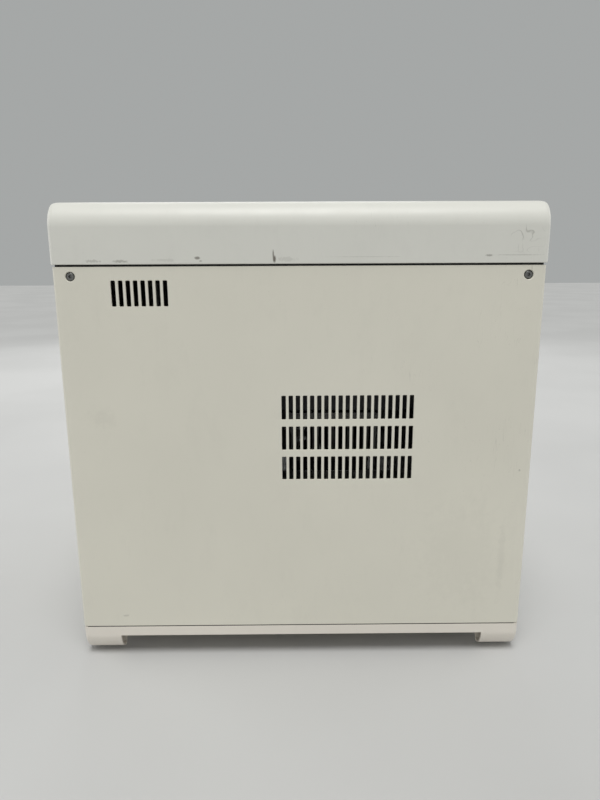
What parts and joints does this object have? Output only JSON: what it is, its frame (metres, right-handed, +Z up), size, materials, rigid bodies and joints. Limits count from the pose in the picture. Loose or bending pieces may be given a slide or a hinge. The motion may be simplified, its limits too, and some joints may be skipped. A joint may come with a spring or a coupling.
{
  "type": "thermal cycler",
  "caption": "Bench-top thermal cycler with optical read-out: vented white box with a rounded top cap, motor drawer carrying a 96-well block, and a heated lid.",
  "frame": {"origin": "on the bench, below the centre of the machine", "axes": "+Z up, -Y towards the front with the screen and the drawer, +X to the right seen from the front"},
  "size_m": [0.397, 0.467, 0.468],
  "materials": {
    "white_paint": "warm white powder coat with a very fine texture",
    "white_plastic": "warm white moulding with a satin paint",
    "grey_plastic": "fine-textured moulding",
    "black_plastic": "glass-filled moulding",
    "screen_glass": "polished black touch panel",
    "rubber": "matt",
    "zinc_steel": "zinc-plated sheet",
    "bright_steel": "bright plated",
    "dark_steel": "blackened socket screws",
    "aluminium": "extruded and milled",
    "block_aluminium": "fine machined, clear anodised",
    "black_aluminium": "black anodised",
    "brass": "machined",
    "mirror": "first-surface mirror",
    "ceramic": "unglazed alumina",
    "circuit_board": "green solder mask"
  },
  "bodies": {
    "housing": {"base_tray": "white_plastic", "foot_pad_front_left": "rubber", "foot_pad_front_right": "rubber", "foot_pad_rear_left": "rubber", "foot_pad_rear_right": "rubber", "panel_screw_left_front": "dark_steel", "panel_screw_left_rear": "dark_steel", "panel_screw_right_front": "dark_steel", "panel_screw_right_rear": "dark_steel", "side_panel_left": "white_paint", "side_panel_right": "white_paint", "top_cap": "white_plastic", "front_fascia": "white_plastic", "touchscreen_glass": "screen_glass", "display_module": "black_plastic", "rear_panel": "white_paint", "chassis_floor": "zinc_steel", "chassis_side_left": "zinc_steel", "chassis_side_right": "zinc_steel", "drawer_deck": "zinc_steel", "optics_deck": "zinc_steel", "slide_outer_left": "bright_steel", "slide_outer_right": "bright_steel", "drawer_motor": "bright_steel", "lift_motor_left": "black_plastic", "lift_motor_right": "black_plastic", "optics_housing": "black_aluminium", "fold_mirror": "mirror", "camera_module": "black_aluminium", "led_light_source": "aluminium", "filter_wheel_motor": "bright_steel", "exhaust_fan_frame": "black_plastic", "fan_guard": "bright_steel", "power_inlet": "black_plastic", "io_ports": "bright_steel", "power_supply": "zinc_steel", "control_board": "circuit_board"},
    "drawer": {"drawer_front": "white_plastic", "drawer_tray": "zinc_steel", "heat_sink": "aluminium", "peltier_left": "ceramic", "peltier_right": "ceramic", "sample_block": "block_aluminium", "block_surround": "grey_plastic", "drawer_rack": "black_plastic", "slide_inner_left": "bright_steel", "slide_inner_right": "bright_steel", "sink_fan_frame": "black_plastic"},
    "slide_left": {"slide_mid_left": "bright_steel"},
    "slide_right": {"slide_mid_right": "bright_steel"},
    "pinion": {"drawer_pinion": "brass"},
    "sink_fan": {"sink_fan_rotor": "black_plastic"},
    "lid": {"heated_lid_plate": "black_aluminium", "lid_carrier": "aluminium"},
    "screw_left": {"lead_screw_left": "bright_steel"},
    "screw_right": {"lead_screw_right": "bright_steel"},
    "filter_turret": {"filter_wheel": "black_aluminium"},
    "exhaust_fan": {"exhaust_fan_rotor": "black_plastic"},
    "rocker": {"power_rocker": "black_plastic"},
    "button": {"power_button": "grey_plastic"}
  },
  "joints": [
    {"name": "drawer_slide", "type": "slide", "parent": "housing", "child": "drawer", "axis": [0, -1, 0], "range_m": [0, 0.255]},
    {"name": "slide_left_travel", "type": "slide", "parent": "housing", "child": "slide_left", "axis": [0, -1, 0], "range_m": [0, 0.1275]},
    {"name": "slide_right_travel", "type": "slide", "parent": "housing", "child": "slide_right", "axis": [0, -1, 0], "range_m": [0, 0.1275]},
    {"name": "pinion_spin", "type": "hinge", "parent": "housing", "child": "pinion", "pos_m": [0.064, -0.203, 0.1285], "axis": [1, 0, 0], "range_deg": [0, 1082.4]},
    {"name": "lid_lift", "type": "slide", "parent": "housing", "child": "lid", "axis": [0, 0, -1], "range_m": [0, 0.007]},
    {"name": "screw_left_spin", "type": "hinge", "parent": "housing", "child": "screw_left", "pos_m": [-0.095, -0.04, 0.29], "axis": [0, 0, 1], "range_deg": [0, 630.1]},
    {"name": "screw_right_spin", "type": "hinge", "parent": "housing", "child": "screw_right", "pos_m": [0.095, -0.04, 0.29], "axis": [0, 0, 1], "range_deg": [0, 630.1]},
    {"name": "filter_wheel_spin", "type": "hinge", "parent": "housing", "child": "filter_turret", "pos_m": [0, 0.037, 0.354], "axis": [0, 1, 0], "continuous": true},
    {"name": "sink_fan_spin", "type": "hinge", "parent": "drawer", "child": "sink_fan", "pos_m": [0, -0.04, 0.16], "axis": [0, 0, 1], "continuous": true},
    {"name": "exhaust_fan_spin", "type": "hinge", "parent": "housing", "child": "exhaust_fan", "pos_m": [-0.092, 0.215, 0.28], "axis": [0, 1, 0], "continuous": true},
    {"name": "power_rocker_tilt", "type": "hinge", "parent": "housing", "child": "rocker", "pos_m": [0.118, 0.2255, 0.109], "axis": [1, 0, 0], "range_deg": [-14, 0]},
    {"name": "power_button_press", "type": "slide", "parent": "housing", "child": "button", "axis": [0, 1, 0], "range_m": [0, 0.0015], "stiffness_N_per_m": 400, "springref_m": -0.002}
  ],
  "couplings": [
    {"joint": "slide_left_travel", "follows": "drawer_slide", "ratio": 0.5},
    {"joint": "slide_right_travel", "follows": "drawer_slide", "ratio": 0.5},
    {"joint": "pinion_spin", "follows": "drawer_slide", "rad_per_m": 74.074},
    {"joint": "screw_left_spin", "follows": "lid_lift", "rad_per_m": 1570.8},
    {"joint": "screw_right_spin", "follows": "lid_lift", "rad_per_m": 1570.8}
  ]
}
